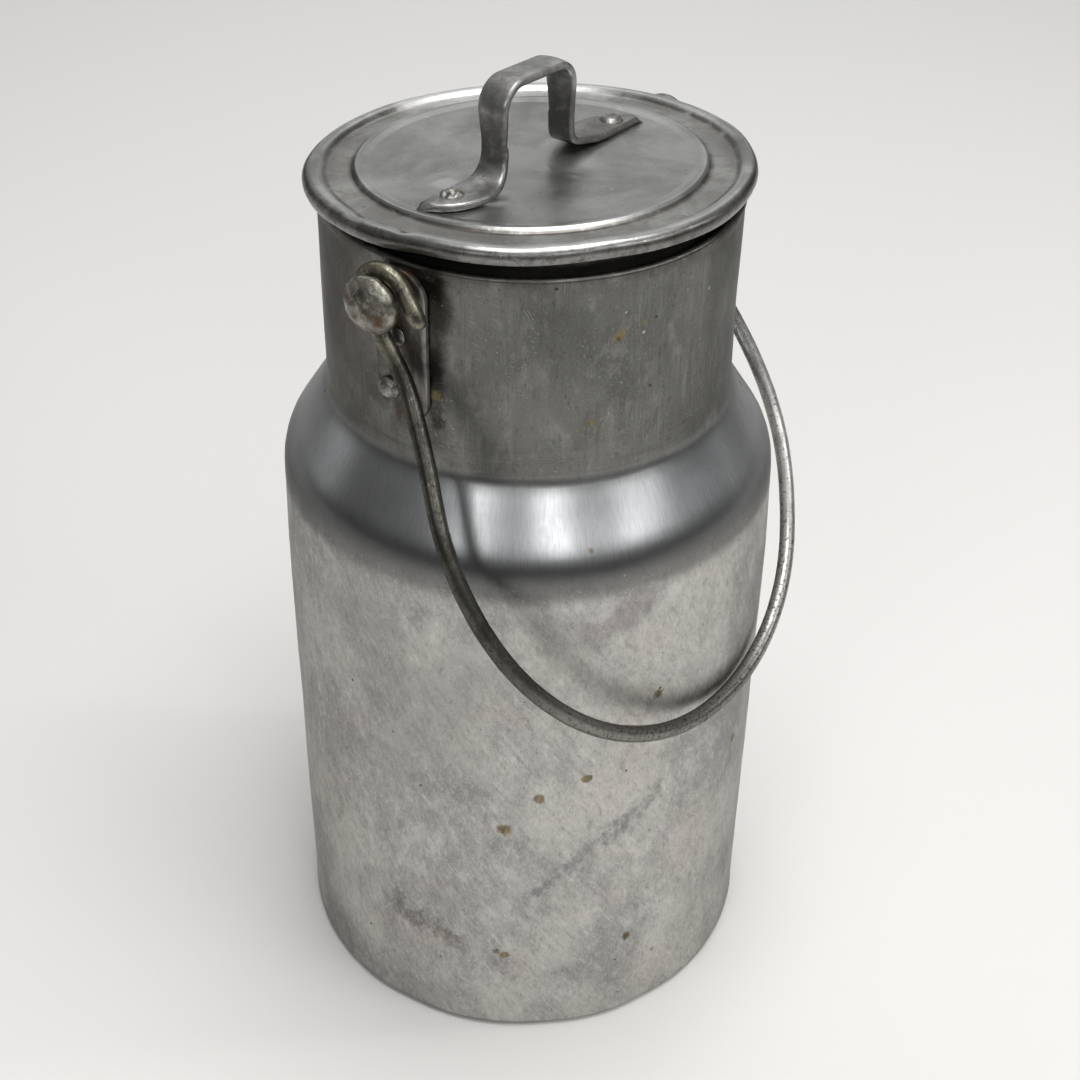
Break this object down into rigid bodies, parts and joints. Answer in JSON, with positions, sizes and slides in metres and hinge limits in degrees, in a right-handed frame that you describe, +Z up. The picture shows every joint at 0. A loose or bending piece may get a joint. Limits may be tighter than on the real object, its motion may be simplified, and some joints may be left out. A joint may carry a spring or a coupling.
{
  "type": "milk can",
  "caption": "Small aluminium milk can with a narrow neck, a swinging wire bail on domed studs and a lift-off lid with a riveted strap handle.",
  "frame": {"origin": "centre of the flat underside", "axes": "X along the bail's hinge axis, +Z up out of the mouth; the bail hangs over the -Y side"},
  "size_m": [0.1314, 0.1284, 0.2524],
  "materials": {
    "body_aluminium": "matt, oxidised, with fine upright scratches and stains; brighter on the shoulder",
    "ear_aluminium": "dull, grimy",
    "stud_steel": "worn bright with rust stains",
    "wire_steel": "dark, oily, worn bright where it rubs",
    "lid_aluminium": "satin, spun, with dirt in the valley",
    "handle_aluminium": "satin, hand-worn edges",
    "rivet_aluminium": "worn"
  },
  "bodies": {
    "can": {"can_body": "body_aluminium", "ear_plate_left": "ear_aluminium", "ear_plate_right": "ear_aluminium", "ear_stud_left": "stud_steel", "ear_stud_right": "stud_steel", "ear_rivet_left": "rivet_aluminium", "ear_rivet_right": "rivet_aluminium", "ear_low_rivet_left": "rivet_aluminium", "ear_low_rivet_right": "rivet_aluminium"},
    "bail": {"bail": "wire_steel"},
    "lid": {"lid_cover": "lid_aluminium", "lid_plug_ring": "lid_aluminium", "lid_handle": "handle_aluminium", "lid_rivet_left": "rivet_aluminium", "lid_rivet_right": "rivet_aluminium"}
  },
  "joints": [
    {"name": "bail_swing", "type": "hinge", "parent": "can", "child": "bail", "pos_m": [0, 0, 0.2175], "axis": [-1, 0, 0], "range_deg": [0, 301]},
    {"name": "lid_lift", "type": "slide", "parent": "can", "child": "lid", "axis": [0, 0, 1], "range_m": [0, 0.1]}
  ]
}
